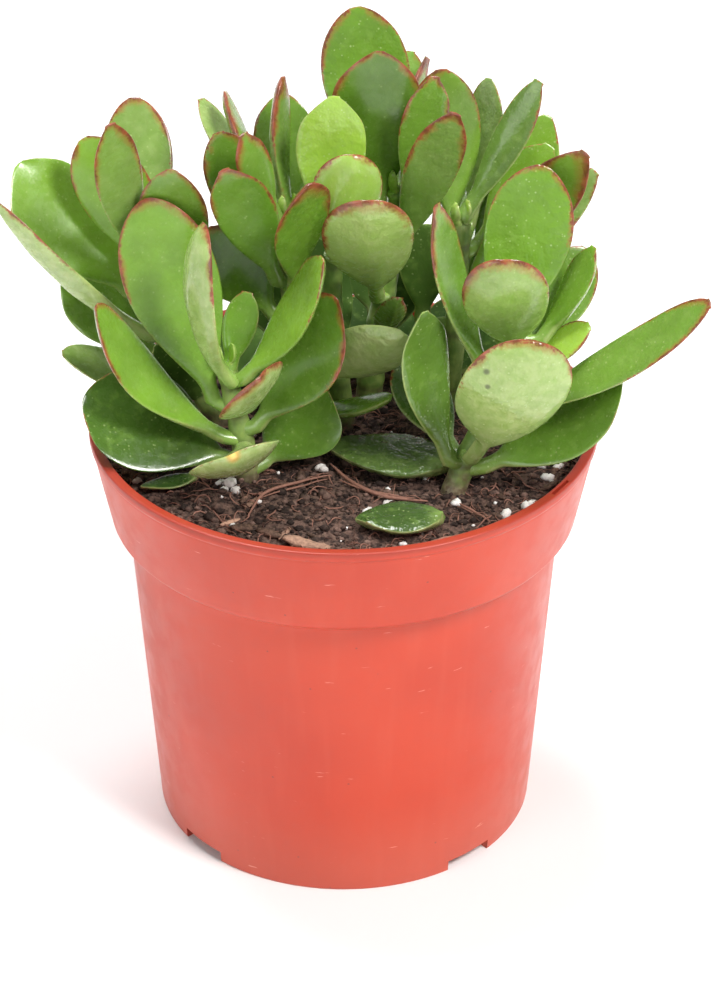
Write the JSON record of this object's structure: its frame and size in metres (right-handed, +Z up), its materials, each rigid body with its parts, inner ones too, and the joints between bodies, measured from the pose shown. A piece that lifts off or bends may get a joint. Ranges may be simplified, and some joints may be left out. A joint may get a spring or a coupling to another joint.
{
  "type": "potted jade plant",
  "caption": "Young jade plant with thick glossy red-edged leaves in crossed pairs on short stems, in dark potting soil in a terracotta-coloured plastic nursery pot",
  "frame": {"origin": "on the pot's axis, on the surface that the pot stands on; the bottom centre of the bounding box", "axes": "+Z up along the pot's axis; +X to the right and -Y towards a viewer of the plant's front"},
  "size_m": [0.1603, 0.12, 0.1935],
  "materials": {
    "pot": "injection-moulded terracotta-coloured plastic, satin gloss",
    "soil": "dark peat potting soil with fibres, bark and white perlite",
    "stem": "smooth fleshy green stem",
    "leaf": "thick waxy green leaf, glossy on top, paler below, with a red margin towards the tip",
    "fallen_leaf": "dark green fallen leaf, glossy"
  },
  "bodies": {
    "root": {"nursery_pot": "pot", "leaf_a_low_left": "leaf", "leaf_a_low_right": "leaf", "leaf_a_front": "leaf", "leaf_a_left": "leaf", "leaf_a_right": "leaf", "leaf_a_front_up": "leaf", "leaf_a_back_tall": "leaf", "leaf_a_pale_edge": "leaf", "leaf_a_right_up": "leaf", "leaf_b_far_left": "leaf", "leaf_b_back_left": "leaf", "leaf_b_top": "leaf", "leaf_b_edge": "leaf", "leaf_b_inner": "leaf", "leaf_b_low_long": "leaf", "leaf_b_low_back": "leaf", "leaf_c_left": "leaf", "leaf_c_slender": "leaf", "leaf_c_mid_left": "leaf", "leaf_c_low_left": "leaf", "leaf_c_red_rim": "leaf", "leaf_c_back": "leaf", "leaf_c_grey": "leaf", "leaf_c_rear": "leaf", "leaf_d_left": "leaf", "leaf_d_low_right": "leaf", "leaf_d_front": "leaf", "leaf_d_dark": "leaf", "leaf_d_slender": "leaf", "leaf_d_long_right": "leaf", "leaf_d_round_front": "leaf", "leaf_d_tall": "leaf", "leaf_d_right": "leaf", "leaf_d_right_back": "leaf", "leaf_e_top": "leaf", "leaf_e_big": "leaf", "leaf_e_right": "leaf", "leaf_e_mid": "leaf", "leaf_e_round_front": "leaf", "leaf_e_rear": "leaf", "leaf_f_tall": "leaf", "leaf_f_grey": "leaf", "leaf_f_right": "leaf", "leaf_f_far": "leaf", "leaf_f_dark": "leaf", "leaf_f_rear": "leaf", "leaf_g_tall": "leaf", "leaf_g_small_round": "leaf", "stem_a": "stem", "stem_b": "stem", "stem_c": "stem", "stem_d": "stem", "stem_e": "stem", "stem_g": "stem", "stem_f": "stem", "fallen_leaf_middle": "fallen_leaf", "fallen_leaf_front": "fallen_leaf", "fallen_leaf_left": "fallen_leaf", "soil": "soil"}
  },
  "joints": []
}
